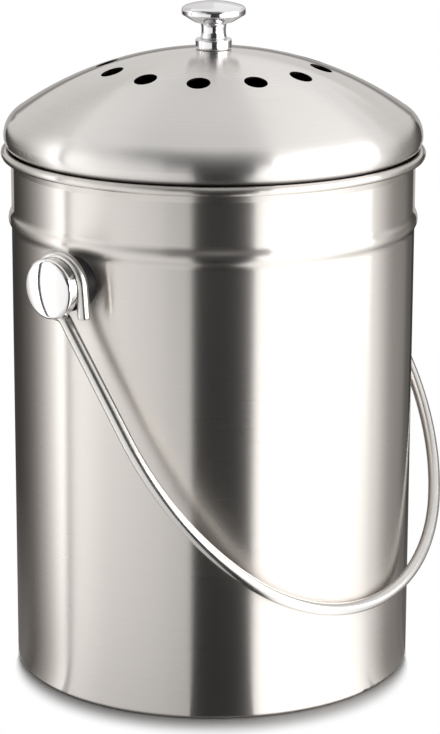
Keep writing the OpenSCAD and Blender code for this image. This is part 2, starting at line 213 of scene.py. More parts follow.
def brushed_round_axis(name, light_tone, dark_tone, roughness, spread, grain, depth, seam=None,
                       painted_shade_inside=False):
    """A seam is the two heights between which its painted shade fades away upwards."""
    finish, tree, shader = new_finish(name)
    place = add_node(tree, "ShaderNodeTexCoord").outputs["Object"]
    x, y, z = add_node(tree, "ShaderNodeSeparateXYZ", {"Vector": place}).outputs
    around = direction_round_axis(tree, x, y)
    in_world = add_node(tree, "ShaderNodeVectorTransform", {"Vector": around}, vector_type="VECTOR",
                        convert_from="OBJECT", convert_to="WORLD").outputs[0]
    tree.links.new(vector_maths(tree, "NORMALIZE", in_world), shader.inputs["Tangent"])
    radius = vector_maths(tree, "LENGTH", around)
    hair = round_scratches(tree, x, y, z, radius, grain)
    cloud = noise(tree, place, WEAR_SCALE, WEAR_DETAIL)

    tone = mixed(tree, between(tree, hair, 0.0, 1.0), dark_tone, light_tone)
    # Painted shade: full below the seam's lower height, fading out up to its upper one
    if seam:
        shaded = stretched(tree, z, seam[0], seam[1], DEEPEST_PAINTED_SHADE, 0.0, kind="SMOOTHSTEP")
        if painted_shade_inside:
            # Painted shade on the inside of the dome and on the walls of its vent holes
            shaded = maths(tree, "MAXIMUM", shaded, inside_of_dome(tree, place, radius))
        tone = mixed(tree, shaded, tone, PAINTED_SHADE)
    tree.links.new(tone, shader.inputs["Base Color"])

    worn = between(tree, cloud, -spread / 2, spread / 2)
    scratched = between(tree, hair, roughness - spread, roughness + spread)
    slant = add_node(tree, "ShaderNodeLayerWeight", {"Blend": 0.5}).outputs["Facing"]
    keener = stretched(tree, slant, SLANT_STARTS, SLANT_ENDS, 1.0, ROUGHNESS_KEPT)
    rough = maths(tree, "MULTIPLY", maths(tree, "ADD", scratched, worn), keener)
    tree.links.new(rough, shader.inputs["Roughness"])
    raise_surface(tree, shader, hair, depth)
    shader.inputs["Metallic"].default_value = 1.0
    shader.inputs["Anisotropic"].default_value = 1.0
    shader.inputs["Anisotropic Rotation"].default_value = QUARTER_TURN
    return finish


print("brushed finish ready, with its roughness down to", ROUGHNESS_KEPT, "of itself at the outline")

# %% [markdown]
# ## Brushing the pail and the lid
# The exact model's pieces have material slots already, so dressing one is only a change of what its slots
# hold. The pail and the dome have the same fine grain, and the pail's is the shallower one. The collar under
# the lid is plain mill steel with a coarser grain.

# %% Dress the sheet steel
def dress(node_name, finish):
    for slot in nodes[node_name].material_slots:
        slot.material = finish


# Painted shade: a thin dark seam at the pail's foot and at the lid's lower edge above the rim
pail_steel = brushed_round_axis("pail_brushed_steel", (0.675, 0.64, 0.605, 1), (0.64, 0.605, 0.57, 1),
                                roughness=0.28, spread=0.008, grain=160.0, depth=0.0000004,
                                seam=(-0.001, 0.0004))
# The lid's dome is also painted with shade on its inside and in its vent holes
lid_steel = brushed_round_axis("lid_brushed_steel", (0.78, 0.755, 0.73, 1), (0.71, 0.685, 0.66, 1),
                               roughness=0.30, spread=0.02, grain=160.0, depth=0.000002,
                               seam=(0.2240, 0.2262), painted_shade_inside=True)
collar_steel = brushed_round_axis("collar_mill_steel", (0.60, 0.59, 0.575, 1), (0.52, 0.51, 0.50, 1),
                                  roughness=0.42, spread=0.05, grain=60.0, depth=0.00001)
for node_name, finish in (("pail_shell", pail_steel), ("lid_dome", lid_steel), ("lid_collar", collar_steel)):
    dress(node_name, finish)
    print(node_name, "has the finish", finish.name)

# %% [markdown]
# ## Polished steel
# The knob, the ear caps and the handle are buffed bright. A mirror without any flaw looks like plastic film,
# so a soft noise makes some places a trace duller, and a very faint bump keeps reflections from being ruled.
# Washers and screws are plain stamped and rolled steel: the same kind of finish, but rougher and greyer.

# %% Make the polished finishes
SMEAR_SCALE, SMEAR_DETAIL, SMEAR_ROUGHNESS, SMEAR_TONE = 120.0, 5.0, 0.6, 0.93
SWELL_SCALE, SWELL_DETAIL = 60.0, 1.0


def buffed(name, tone, roughness, haze, ripple):
    finish, tree, shader = new_finish(name)
    place = add_node(tree, "ShaderNodeTexCoord").outputs["Object"]
    smear = noise(tree, place, SMEAR_SCALE, SMEAR_DETAIL, Roughness=SMEAR_ROUGHNESS)
    swell = noise(tree, place, SWELL_SCALE, SWELL_DETAIL)
    darker = tuple(channel * SMEAR_TONE for channel in tone[:3]) + (1,)
    tree.links.new(mixed(tree, smear, darker, tone), shader.inputs["Base Color"])
    tree.links.new(between(tree, smear, roughness, roughness + haze), shader.inputs["Roughness"])
    raise_surface(tree, shader, swell, ripple)
    shader.inputs["Metallic"].default_value = 1.0
    return finish


knob_polish = buffed("knob_polished_steel", (0.83, 0.82, 0.83, 1), 0.04, haze=0.04, ripple=0.000006)
ear_polish = buffed("ear_polished_steel", (0.83, 0.82, 0.81, 1), 0.05, haze=0.04, ripple=0.000006)
wire_polish = buffed("handle_polished_wire", (0.67, 0.65, 0.625, 1), 0.20, haze=0.08, ripple=0.000006)
washer_metal = buffed("washer_stamped_steel", (0.58, 0.57, 0.56, 1), 0.34, haze=0.14, ripple=0.00003)
screw_metal = buffed("screw_plain_steel", (0.63, 0.62, 0.61, 1), 0.26, haze=0.12, ripple=0.00002)
for carrier in ("left_ear", "right_ear", "knob"):
    dress(carrier + "_washer", washer_metal)
    dress(carrier + "_screw", screw_metal)
print("plain steel on washers and screws")

# %% [markdown]
# ## Charcoal felt and moulded plastic
# Under the dome a ring of black plastic holds a pad of charcoal felt, which lies in the dark behind the vent
# holes. Felt is a mat of fibres that cross each other: two noises, one stretched each way, make the fibres,
# and a weak sheen gives the soft rim of light that fibres have. The plastic ring has the fine pebbled
# texture of its mould, and so have the spacers that hold the handle's eyes off the wall.

# %% Make the felt and the plastic
FIBRE_SCALE, FIBRE_STRETCH = 900.0, 0.22
PATCH_SCALE, PEBBLE_SCALE, RUB_SCALE = 55.0, 1600.0, 90.0
FELT_SHADES = ((0.18, (0.0025, 0.0025, 0.003, 1)), (0.48, (0.024, 0.0235, 0.0245, 1)))
PLASTIC_DARK, PLASTIC_RUBBED = (0.012, 0.012, 0.013, 1), (0.026, 0.026, 0.027, 1)


def charcoal_felt():
    finish, tree, shader = new_finish("charcoal_felt")
    place = add_node(tree, "ShaderNodeTexCoord").outputs["Object"]
    fibres = []
    for stretch in ((1.0, FIBRE_STRETCH, 1.0), (FIBRE_STRETCH, 1.0, 1.0)):
        pulled = add_node(tree, "ShaderNodeMapping", {"Vector": place, "Scale": stretch}).outputs[0]
        fibres.append(noise(tree, pulled, FIBRE_SCALE, detail=4.0, Roughness=0.7, Distortion=0.8))
    mat = maths(tree, "MAXIMUM", fibres[0], fibres[1])
    patches = noise(tree, place, PATCH_SCALE, detail=2.0)
    shade = add_node(tree, "ShaderNodeValToRGB", {"Fac": maths(tree, "MULTIPLY", mat, patches)})
    for stop, (position, colour) in zip(shade.color_ramp.elements, FELT_SHADES):
        stop.position = position
        stop.color = colour
    tree.links.new(shade.outputs[0], shader.inputs["Base Color"])
    raise_surface(tree, shader, mat, depth=0.0004)
    shader.inputs["Roughness"].default_value = 0.95
    shader.inputs["Specular IOR Level"].default_value = 0.15
    shader.inputs["Sheen Weight"].default_value = 0.08
    shader.inputs["Sheen Roughness"].default_value = 0.6
    return finish


def moulded_black():
    finish, tree, shader = new_finish("moulded_black_plastic")
    place = add_node(tree, "ShaderNodeTexCoord").outputs["Object"]
    pebbles = add_node(tree, "ShaderNodeTexVoronoi", {"Vector": place, "Scale": PEBBLE_SCALE})
    rubbed = noise(tree, place, RUB_SCALE, detail=3.0)
    tree.links.new(between(tree, rubbed, 0.38, 0.56), shader.inputs["Roughness"])
    tree.links.new(mixed(tree, rubbed, PLASTIC_DARK, PLASTIC_RUBBED), shader.inputs["Base Color"])
    raise_surface(tree, shader, pebbles.outputs["Distance"], depth=0.00005, strength=0.6)
    return finish


felt = charcoal_felt()
black_plastic = moulded_black()
for node_name in ("filter_retainer", "left_ear_spacer", "right_ear_spacer"):
    dress(node_name, black_plastic)
print("felt made, black plastic on filter_retainer and the ear spacers")

# %% [markdown]
# ## A lathe for the small round pieces
# The knob, its ferrule and the ear caps are turned on a lathe. In Blender the same thing is a spin: an
# outline of radius and height is drawn once and spun round the axis. Every real turned edge is broken a
# little, and that tiny rounded edge is what catches the light, so each sharp corner gets a small bevel
# afterwards. The weighted-normal modifier then keeps the flat faces looking flat beside their rounded edges.

# %% Make the lathe
MM = 0.001
LATHE_STEPS = 128
EDGE_SEGMENTS = 4
LATHE_WELD = 0.002 * MM


def arc(centre, radius, first_angle, last_angle, steps):
    """Points on a circle in the outline's plane; angles in degrees, from the direction away from the axis."""
    turn = last_angle - first_angle
    angles = [math.radians(first_angle + turn * step / steps) for step in range(steps + 1)]
    return [(centre[0] + radius * math.cos(a), centre[1] + radius * math.sin(a)) for a in angles]


def crowned(radius, edge, rim, top):
    """A rounded edge that runs smoothly into a crowned face, out to radius and up to top."""
    inner, rise = radius - edge, top - rim + edge
    crown_r = (inner ** 2 + rise ** 2 - edge ** 2) / (2 * (rise - edge))
    lean = math.degrees(math.asin(inner / (crown_r - edge)))
    return (arc((inner, rim - edge), edge, 0, 90 - lean, steps=8)
            + arc((0, top - crown_r), crown_r, 90 - lean, 90, steps=20)[1:])


def new_object(name, shape, finish):
    mesh = bpy.data.meshes.new(name)
    shape.to_mesh(mesh)
    shape.free()
    mesh.materials.append(finish)
    made = bpy.data.objects.new(name, mesh)
    scene.collection.objects.link(made)
    return made


def finished_piece(name, shape, finish, body, stands_for):
    bmesh.ops.recalc_face_normals(shape, faces=shape.faces)
    for face in shape.faces:
        face.smooth = True
    piece = new_object(name, shape, finish)
    normals = piece.modifiers.new("even_normals", "WEIGHTED_NORMAL")
    normals.keep_sharp = True
    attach(piece, body)
    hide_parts(stands_for)
    print(name, "has", len(piece.data.vertices), "points and stands for", stands_for)
    return piece


def turned(name, outline, finish, body, stands_for, edge=0.4, place=Matrix.Identity(4),
           sharp_from=25.0):
    """Spins an outline in millimetres, and rounds each corner that turns by more than sharp_from degrees."""
    shape = bmesh.new()
    points = [shape.verts.new((radius * MM, 0, height * MM)) for radius, height in outline]
    lines = [shape.edges.new(pair) for pair in zip(points, points[1:])]
    bmesh.ops.spin(shape, geom=points + lines, axis=(0, 0, 1), cent=(0, 0, 0), angle=2 * math.pi,
                   steps=LATHE_STEPS, use_merge=True)
    bmesh.ops.remove_doubles(shape, verts=shape.verts, dist=LATHE_WELD)
    bmesh.ops.recalc_face_normals(shape, faces=shape.faces)
    corners = [e for e in shape.edges if e.is_manifold and e.calc_face_angle() > math.radians(sharp_from)]
    bmesh.ops.bevel(shape, geom=corners, offset=edge * MM, offset_type="OFFSET", segments=EDGE_SEGMENTS,
                    profile=0.5, affect="EDGES", material=-1, clamp_overlap=True)
    bmesh.ops.transform(shape, matrix=place, verts=shape.verts)
    return finished_piece(name, shape, finish, body, stands_for)


print("lathe with", LATHE_STEPS, "steps to the turn")

# %% [markdown]
# ## The knob and its ferrule
# The knob is a solid turned piece: a crowned head with an upright band, a tapered underside and a waisted
# neck. A screw from inside the dome bites into its blind hole. The ferrule is a short sleeve that spreads the
# load on the thin dome. Both outlines are in millimetres. The waist is one arc, whose radius follows from
# the height of the neck and from how far its ends flare.

# %% Turn the knob and the ferrule
# The head: its radius, the heights of its band, crown and underside, and the rounding of its upper edge
KNOB_R, BAND_H, CROWN_H, UNDER_H, KNOB_EDGE = 13.4, 3.5, 1.8, 3.3, 2.0
# Where the underside meets the neck, the neck at its waist, and how far its ends stand out from there
FOOT_R, NECK_R, NECK_FLARE = 8.0, 5.1, 0.5
SCREW_HOLE_R, SCREW_HOLE_DEPTH = 2.45, 7.0
FERRULE_R, FERRULE_BORE_R = 7.6, 2.6

knob_low, knob_high = (corner.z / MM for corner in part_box("lid_knob"))
ferrule_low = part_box("knob_ferrule")[0].z / MM
dome_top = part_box("lid_dome")[1].z / MM
band_top = knob_high - CROWN_H
head_low = band_top - BAND_H - UNDER_H
half_neck = (head_low - knob_low) / 2
waist_r = (half_neck ** 2 + NECK_FLARE ** 2) / (2 * NECK_FLARE)
waist_angle = math.degrees(math.asin(half_neck / waist_r))


def screw_hole(bottom):
    """The blind hole that the screw bites into, from its end down to the piece's bottom."""
    hole_end = bottom + SCREW_HOLE_DEPTH
    return [(0, hole_end), (SCREW_HOLE_R, hole_end), (SCREW_HOLE_R, bottom)]


knob_outline = (
    screw_hole(knob_low)
    + arc((NECK_R + waist_r, knob_low + half_neck), waist_r, 180 + waist_angle, 180 - waist_angle, steps=16)
    + [(FOOT_R, head_low), (KNOB_R, band_top - BAND_H)]
    + crowned(KNOB_R, KNOB_EDGE, band_top, knob_high)
)
turned("turned_knob", knob_outline, knob_polish, "lid", "lid_knob", edge=0.5)
ferrule_outline = [(FERRULE_BORE_R, dome_top), (FERRULE_R, ferrule_low), (FERRULE_R, knob_low),
                   (FERRULE_BORE_R, knob_low), (FERRULE_BORE_R, dome_top)]
turned("turned_ferrule", ferrule_outline, knob_polish, "lid", "knob_ferrule", edge=0.8)

# %% [markdown]
# ## The ear caps
# At each ear a screw from inside the pail holds a spacer, the eye of the handle and a cap with a hub that the
# eye turns on. The cap is a crowned disc. It is turned like the knob and then laid on its side, so that the
# lathe's axis points out along X; the left one is the right one turned half round.

# %% Turn the ear caps
HUB_R, CAP_R, CAP_T, CAP_CROWN, CAP_EDGE = 9.0, 12.5, 5.0, 1.4, 2.0

cap_low, cap_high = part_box("right_ear_cap")
pivot_z = (cap_low.z + cap_high.z) / 2
hub_start, cap_end = cap_low.x / MM, cap_high.x / MM
cap_rim = cap_end - CAP_CROWN
cap_outline = (
    screw_hole(hub_start)
    + [(HUB_R, hub_start), (HUB_R, cap_rim - CAP_T), (CAP_R, cap_rim - CAP_T)]
    + crowned(CAP_R, CAP_EDGE, cap_rim, cap_end)
)
for side, quarter_turn in (("right", 90), ("left", -90)):
    laid_over = Matrix.Translation((0, 0, pivot_z)) @ Matrix.Rotation(math.radians(quarter_turn), 4, "Y")
    turned(side + "_turned_cap", cap_outline, ear_polish, "pail", side + "_ear_cap", edge=0.4,
           place=laid_over)

# %% [markdown]
# ## The wire handle: its tools
# The handle is one length of stainless wire. A curve with a bevel would give a tube, but a tube that has to
# follow exact bends is easier to make the way a wire bender works: a ring of points is pushed along straight
# lengths and swung round bends. Both tools hand back the new end ring and its place, from which the next
# one carries on. A place is a matrix whose Z points along the wire, and rolling it turns the next bend.

# %% Make the tools of a wire bender
DEGREES_PER_STEP, ARC_MM_PER_STEP = 4, 6


def push(shape, ring, place, length, scale=1.0):
    """Draws the wire straight on from its end ring, and gives the new ring and place."""
    drawn = bmesh.ops.extrude_edge_only(shape, edges=ring)["geom"]
    ends = [g for g in drawn if isinstance(g, bmesh.types.BMVert)]
    bmesh.ops.translate(shape, verts=ends, vec=place.to_3x3() @ Vector((0, 0, length * MM)))
    place = place @ Matrix.Translation((0, 0, length * MM))
    if scale != 1.0:
        bmesh.ops.scale(shape, vec=(scale, scale, scale), verts=ends, space=place.inverted())
    return [g for g in drawn if isinstance(g, bmesh.types.BMEdge) and all(v in ends for v in g.verts)], place


def swing(shape, ring, place, radius, degrees):
    """Bends the wire from its own Z towards its own X round the given radius."""
    steps = max(3, round(degrees / DEGREES_PER_STEP + math.radians(degrees) * radius / ARC_MM_PER_STEP))
    centre = place @ Vector((radius * MM, 0, 0))
    swung = bmesh.ops.spin(shape, geom=ring, cent=centre, axis=place.to_3x3() @ Vector((0, 1, 0)),
                           angle=math.radians(degrees), steps=steps, use_merge=False)
    place = (place @ Matrix.Translation((radius * MM, 0, 0)) @ Matrix.Rotation(math.radians(degrees), 4, "Y")
             @ Matrix.Translation((-radius * MM, 0, 0)))
    return [g for g in swung["geom_last"] if isinstance(g, bmesh.types.BMEdge)], place


def roll(place, degrees):
    """Turns the wire about itself, so that the next bend goes another way."""
    return place @ Matrix.Rotation(math.radians(degrees), 4, "Z")


print("tools made: push, swing and roll")

# %% [markdown]
# ## The wire handle: its measures
# The bow is three arcs: a middle one, and a flatter one up each side. From there the arm goes straight on up,
# leaning out a little, and a slight bend sets it upright. A tight neck bend leads into an eye that goes right
# round the hub and ends in a short straight tail. Only the simple measures are chosen. The neck's angle, the
# arm's length, the middle arc and the lean at rest follow from them, because each length has to run into
# the next, and the bow has to stop just short of the wall.

# %% Work out the handle
# The pail's wall, and the bow's clearance from it at rest
WALL_R, REST_GAP = 85.0, 0.3
# The wire, and how far from the pail's axis its middle stands at the ear
WIRE_R, WIRE_X = 2.6, 93.9
# How far the arm runs behind the pivot, its lean in degrees, and how far below the pivot it ends
ARM_BACK, ARM_LEAN, ARM_END = 5.2, 2.6, 67.0
# The side arc, and the angle in degrees at which it passes into the middle one
SIDE_R, SIDE_END = 111.0, 39.5
# The three bends, measured to the middle of the wire
LEAN_BEND_R, NECK_BEND_R, EYE_R = 60.0, 5.5, 12.0
# The angle in degrees between the tail and the arm, the tail, and the short straight between two bends
TAIL_TURN, TAIL_L, JOINT_L = 29.0, 12.9, 0.3

lean, side_end = math.radians(ARM_LEAN), math.radians(SIDE_END)
eye_to_neck = EYE_R + NECK_BEND_R
neck = (math.acos((ARM_BACK + NECK_BEND_R) / math.hypot(eye_to_neck, JOINT_L))
        - math.atan2(JOINT_L, eye_to_neck))
neck_angle = math.degrees(neck)
arm_top = eye_to_neck * math.sin(neck) + JOINT_L * math.cos(neck) + JOINT_L
arm_run = (ARM_END - arm_top - LEAN_BEND_R * math.sin(lean)) / math.cos(lean)
side_x = WIRE_X - LEAN_BEND_R * (1 - math.cos(lean)) - arm_run * math.sin(lean)
side_reach = side_x - SIDE_R * math.cos(lean) + SIDE_R * math.cos(side_end)
bow_r = (side_reach - JOINT_L * math.sin(side_end)) / math.cos(side_end)
bow_middle = (ARM_END - SIDE_R * math.sin(lean) + (SIDE_R - bow_r) * math.sin(side_end)
              + JOINT_L * math.cos(side_end))
bow_low = bow_middle + bow_r
rest_lean = (math.asin((WALL_R + WIRE_R + REST_GAP) / math.hypot(bow_low, ARM_BACK))
             + math.atan2(ARM_BACK, bow_low))
print("middle arc", round(bow_r, 4), "at", round(bow_middle, 4), "mm, arm", round(arm_run, 4), "mm, neck",
      round(neck_angle, 4), "and lean at rest", round(math.degrees(rest_lean), 4), "degrees")

# %% [markdown]
# ## The wire handle: bending it
# One half is bent from the middle of the bow up to the tail, and is then mirrored. A few short pushes, each
# with a smaller ring, round the cut end of the tail.

# %% Bend the wire
WIRE_SIDES = 28
TAIL_TIP = ((0.35, 0.97), (0.30, 0.90), (0.20, 0.80), (0.05, 0.66))
MIRROR_WELD, WIRE_WELD = 0.001 * MM, 0.005 * MM

wire = bmesh.new()
place = (Matrix.Translation((0, ARM_BACK * MM, -bow_middle * MM)) @ Matrix.Rotation(math.pi / 2, 4, "Y")
         @ Matrix.Translation((bow_r * MM, 0, 0)) @ Matrix.Rotation(math.pi, 4, "Z"))
bmesh.ops.create_circle(wire, cap_ends=False, radius=WIRE_R * MM, segments=WIRE_SIDES, matrix=place)
ring = list(wire.edges)
ring, place = swing(wire, ring, place, bow_r, 90 - SIDE_END)
ring, place = push(wire, ring, place, JOINT_L)
ring, place = swing(wire, ring, place, SIDE_R, SIDE_END - ARM_LEAN)
ring, place = push(wire, ring, place, arm_run)
ring, place = swing(wire, ring, place, LEAN_BEND_R, ARM_LEAN)
ring, place = push(wire, ring, place, JOINT_L)
ring, place = swing(wire, ring, roll(place, -90), NECK_BEND_R, neck_angle)
ring, place = push(wire, ring, place, JOINT_L)
ring, place = swing(wire, ring, roll(place, 180), EYE_R, 180 + neck_angle + TAIL_TURN)
ring, place = push(wire, ring, place, TAIL_L - sum(length for length, scale in TAIL_TIP))
for length, scale in TAIL_TIP:
    ring, place = push(wire, ring, place, length, scale)
bmesh.ops.contextual_create(wire, geom=ring)
print("one half of the wire has", len(wire.verts), "points")

bmesh.ops.mirror(wire, geom=wire.verts[:] + wire.edges[:] + wire.faces[:], matrix=Matrix.Identity(4),
                 merge_dist=MIRROR_WELD, axis="X")
bmesh.ops.remove_doubles(wire, verts=wire.verts, dist=WIRE_WELD)
hung = Matrix.Translation((0, 0, pivot_z)) @ Matrix.Rotation(-rest_lean, 4, "X")
bmesh.ops.transform(wire, matrix=hung, verts=wire.verts)
handle = finished_piece("bent_wire_handle", wire, wire_polish, "bail", "bail_handle")
print("the handle's lowest point is", round(min(v.co.z for v in handle.data.vertices) / MM, 1), "mm up")

# %% [markdown]
# ## The filter pad
# The pad is a disc cut from felt a few millimetres thick. A knife leaves its edge soft, and its faces are
# never quite level. The lathe gives the disc. Its outline has many rings, so that a cloud texture can lift
# and sink the faces by a fraction of a millimetre, which the Displace modifier does.

# %% Cut the felt
PAD_RINGS = 26
# How much smaller the radius is than the plain pad's, and how far the faces lie in from the plain ones
PAD_SLACK, FACE_INSET = 0.25, 0.3
# The round of the edge, and how far it reaches up and down, in degrees
PAD_EDGE_R, PAD_EDGE_ARC = 3.16, 60
UNEVEN_SIZE, UNEVEN_DEPTH = 0.011, 0.0005

pad_low, pad_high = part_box("filter_pad")
pad_r, pad_bottom, pad_top = pad_high.x / MM - PAD_SLACK, pad_low.z / MM, pad_high.z / MM
pad_middle = (pad_bottom + pad_top) / 2
ring_radii = [pad_r * number / PAD_RINGS for number in range(PAD_RINGS)]
pad_outline = (
    [(radius, pad_bottom + FACE_INSET) for radius in ring_radii]
    + arc((pad_r - PAD_EDGE_R, pad_middle), PAD_EDGE_R, -PAD_EDGE_ARC, PAD_EDGE_ARC, steps=12)
    + [(radius, pad_top - FACE_INSET) for radius in reversed(ring_radii)]
)
pad = turned("felt_filter_pad", pad_outline, felt, "lid", "filter_pad", sharp_from=170.0)
unevenness = bpy.data.textures.new("felt_unevenness", "CLOUDS")
unevenness.noise_scale = UNEVEN_SIZE
unevenness.noise_depth = 3
uneven = pad.modifiers.new("uneven_faces", "DISPLACE")
uneven.texture = unevenness
uneven.texture_coords = "LOCAL"
uneven.direction = "Z"
uneven.strength = UNEVEN_DEPTH
uneven.mid_level = 0.5

# %% [markdown]
# ## The white room
# Steel shows what stands round it, so the studio matters as much as the finish. The world is white where the
# camera and the reflections see it, and much weaker where it only lights, so that it doesn't wash out the
# shadow. The Light Path node tells the two apart.

# %% Build the white room
WORLD_LIGHT = 0.2
WHITE = (1, 1, 1, 1)


def seen_directly_or_mirrored(tree):
    path = add_node(tree, "ShaderNodeLightPath")
    seen = maths(tree, "MAXIMUM", path.outputs["Is Camera Ray"], path.outputs["Is Glossy Ray"])
    return maths(tree, "MAXIMUM", seen, path.outputs["Is Transmission Ray"])


scene.view_settings.view_transform = "Standard"
world = bpy.data.worlds.new("white_studio")
scene.world = world
world.use_nodes = True
sky = world.node_tree
sky.nodes["Background"].inputs["Color"].default_value = WHITE
sky_strength = stretched(sky, seen_directly_or_mirrored(sky), 0.0, 1.0, WORLD_LIGHT, 1.0)
sky.links.new(sky_strength, sky.nodes["Background"].inputs["Strength"])
print("the world lights with a strength of", WORLD_LIGHT)

# %% [markdown]
# ## The table
# The table is as white as the world, except for a narrow shadow where the pail stands. The shadow's reach
# and its soft edge are painted: outside it the table glows white, and inside it is plain grey and takes
# whatever light falls on it, so the real shadow of the overhead lamp shows there and the grey deepens it. The
# painted shadow is the space between two circles: the pail's foot, and a circle that is hardly larger and is
# moved away from the lamp. A point's share of the way from the one to the other fades the glow in, which
# gives a painted edge that is soft in front and thin behind.

# %% Lay the table
TABLE_HALF_SIZE = 6.0
# The table's grey shows only inside the painted shadow, and makes it darker
TABLE_TONE = (0.72, 0.72, 0.72, 1)
TABLE_ROUGHNESS = 0.9
PAIL_FOOT_R = 0.0845
PAINTED_SHADOW_MIDDLE, PAINTED_SHADOW_R, LEAST_WIDTH = (-0.0152, -0.0130, 0.0), 0.0855, 0.001


def table_finish():
    finish, tree, shader = new_finish("white_table")
    shader.inputs["Base Color"].default_value = TABLE_TONE
    shader.inputs["Roughness"].default_value = TABLE_ROUGHNESS
    shader.inputs["Specular IOR Level"].default_value = 0.0
    place = add_node(tree, "ShaderNodeTexCoord").outputs["Object"]
    # Painted shadow: the glow fades in between the pail's foot and the shifted circle
    beyond_foot = maths(tree, "SUBTRACT", vector_maths(tree, "LENGTH", place), PAIL_FOOT_R)
    to_shadow_edge = maths(tree, "SUBTRACT", PAINTED_SHADOW_R, vector_maths(tree, "DISTANCE", place, PAINTED_SHADOW_MIDDLE))
    width = maths(tree, "MAXIMUM", maths(tree, "ADD", beyond_foot, to_shadow_edge), LEAST_WIDTH)
    out_of_shadow = maths(tree, "DIVIDE", beyond_foot, width)
    softened = stretched(tree, out_of_shadow, 0.0, 1.0, 0.0, 1.0, kind="SMOOTHSTEP")
    share = maths(tree, "MULTIPLY", softened, seen_directly_or_mirrored(tree))
    glow = add_node(tree, "ShaderNodeEmission", {"Color": WHITE, "Strength": 1.0}).outputs[0]
    blend = add_node(tree, "ShaderNodeMixShader", {0: share, 1: shader.outputs[0], 2: glow}).outputs[0]
    tree.links.new(blend, tree.nodes["Material Output"].inputs["Surface"])
    return finish


def studio_sheet(name, shape, finish):
    """A sheet that stands round the pail and is no part of it."""
    sheet = new_object(name, shape, finish)
    return sheet


table_top = bmesh.new()
bmesh.ops.create_grid(table_top, x_segments=1, y_segments=1, size=TABLE_HALF_SIZE)
studio_sheet("white_table", table_top, table_finish())
print("table", 2 * TABLE_HALF_SIZE, "m wide, with a shadow round a foot of", PAIL_FOOT_R / MM, "mm")

# %% [markdown]
# ## Paper for cards that only the steel sees
# Curved cards stand and hang round the pail. The camera doesn't see them and they light nothing, but the
# steel mirrors them: pale ones make the light bands, and nearly black ones the dark bands without which
# steel looks like white paint. An attribute on a card's points holds its glow, so one material serves all.
# A turn is counted in degrees from the direction towards the camera, positive to its right, and a stop is a
# turn with its tone. Tones pass from stop to stop by equal factors, as brightness does to the eye.

# %% Make the card paper
TOWARDS_CAMERA = math.atan2(camera_place.y, camera_place.x)
# How warm the dimmest paper is, the turn from which on it is, and the degrees over which that comes in
WARMEST, WARM_FROM, WARM_OVER = 0.11, 94, 8
SAME_TURN = 0.001


def card_finish():
    finish, tree, shader = new_finish("shaded_card")
    tone = add_node(tree, "ShaderNodeAttribute", attribute_name="tone").outputs["Color"]
    glow = add_node(tree, "ShaderNodeEmission", {"Color": tone, "Strength": 1.0}).outputs[0]
    tree.links.new(glow, tree.nodes["Material Output"].inputs["Surface"])
    return finish


def standing_at(turn, distance, height):
    angle = TOWARDS_CAMERA + math.radians(turn)
    return Vector((math.cos(angle) * distance, math.sin(angle) * distance, height))


def tone_at(turn, stops):
    for (turn_a, tone_a), (turn_b, tone_b) in zip(stops, stops[1:]):
        if turn <= turn_b + SAME_TURN:
            share = (turn - turn_a) / (turn_b - turn_a)
            return tone_a * (tone_b / tone_a) ** share
    return stops[-1][1]


def paper_colour(turn, shade):
    """Beside and behind the pail, the dim parts of the cards are slightly warmer than the bright ones."""
    warmth = WARMEST * min(1.0, max(0.0, (abs(turn) - WARM_FROM) / WARM_OVER)) * max(0.0, 1 - shade)
    return (shade, shade * (1 - 0.5 * warmth), shade * (1 - warmth), 1)


card_paper = card_finish()
print("card paper made; the camera stands at", round(math.degrees(TOWARDS_CAMERA), 1), "degrees")

# %% [markdown]
# ## Cutting the cards
# A card is cut from rows of points, each spun about the axis, with faces bridged from row to row. Some cards
# hang in the air. Others stand on the table and have a flap that lies on it and runs in towards the pail,
# because the foot of the wall mirrors the table beside it. Close to the pail a mirrored line of sight hasn't
# yet swung out to its full turn, so each row of a flap keeps only a share of every turn. Beside the pail's
# foot a flap may also be brighter or darker than the card that it belongs to.

# %% Cut the cards
DEGREES_PER_POINT = 2
FLAP_HEIGHT = 0.0006
# About half the radius of the wall
HALF_WALL_R = 0.040
# How far out the rows of a flap lie, and how fully each takes what its stops say of the pail's foot
FLAP_ROWS = ((0.0855, 1.0), (0.12, 0.95), (0.18, 0.65), (0.30, 0.15))


def card(name, rows):
    """A curved card round the pail. A row is a reach, a height, the share of each turn that it keeps and its
    stops, which are turns with their tones."""
    shape = bmesh.new()
    tone = shape.verts.layers.float_color.new("tone")
    start, end = rows[0][3][0][0], rows[0][3][-1][0]
    steps = max(4, round((end - start) / DEGREES_PER_POINT))
    made = []
    for reach, height, share, stops in rows:
        known = set(shape.verts)
        first = shape.verts.new(standing_at(start * share, reach, height))
        bmesh.ops.spin(shape, geom=[first], axis=(0, 0, 1), cent=(0, 0, 0), steps=steps,
                       angle=math.radians(end - start) * share, use_merge=False)
        row = [v for v in shape.verts if v not in known]
        for step, v in enumerate(row):
            turn = start + (end - start) * step / steps
            v[tone] = paper_colour(turn, tone_at(turn, stops))
        made.append(row)
    for pair in zip(made, made[1:]):
        edges = [e for e in shape.edges if any(all(v in row for v in e.verts) for row in pair)]
        bmesh.ops.bridge_loops(shape, edges=edges)
    sheet = studio_sheet(name, shape, card_paper)
    sheet.visible_camera = sheet.visible_diffuse = sheet.visible_shadow = sheet.visible_transmission = False
    print(name, "from", start, "to", end, "degrees")


def hung_card(name, stops, rows):
    """A card in the air. A row is a reach, a height and a strength."""
    card(name, [(reach, height, 1.0, [(turn, tone * strength) for turn, tone in stops])
                for reach, height, strength in rows])


def share_of_turn(reach, distance):
    """How much of its turn a mirrored line of sight has reached there, next to what it has at distance."""
    return (1 - HALF_WALL_R / reach) / (1 - HALF_WALL_R / distance)


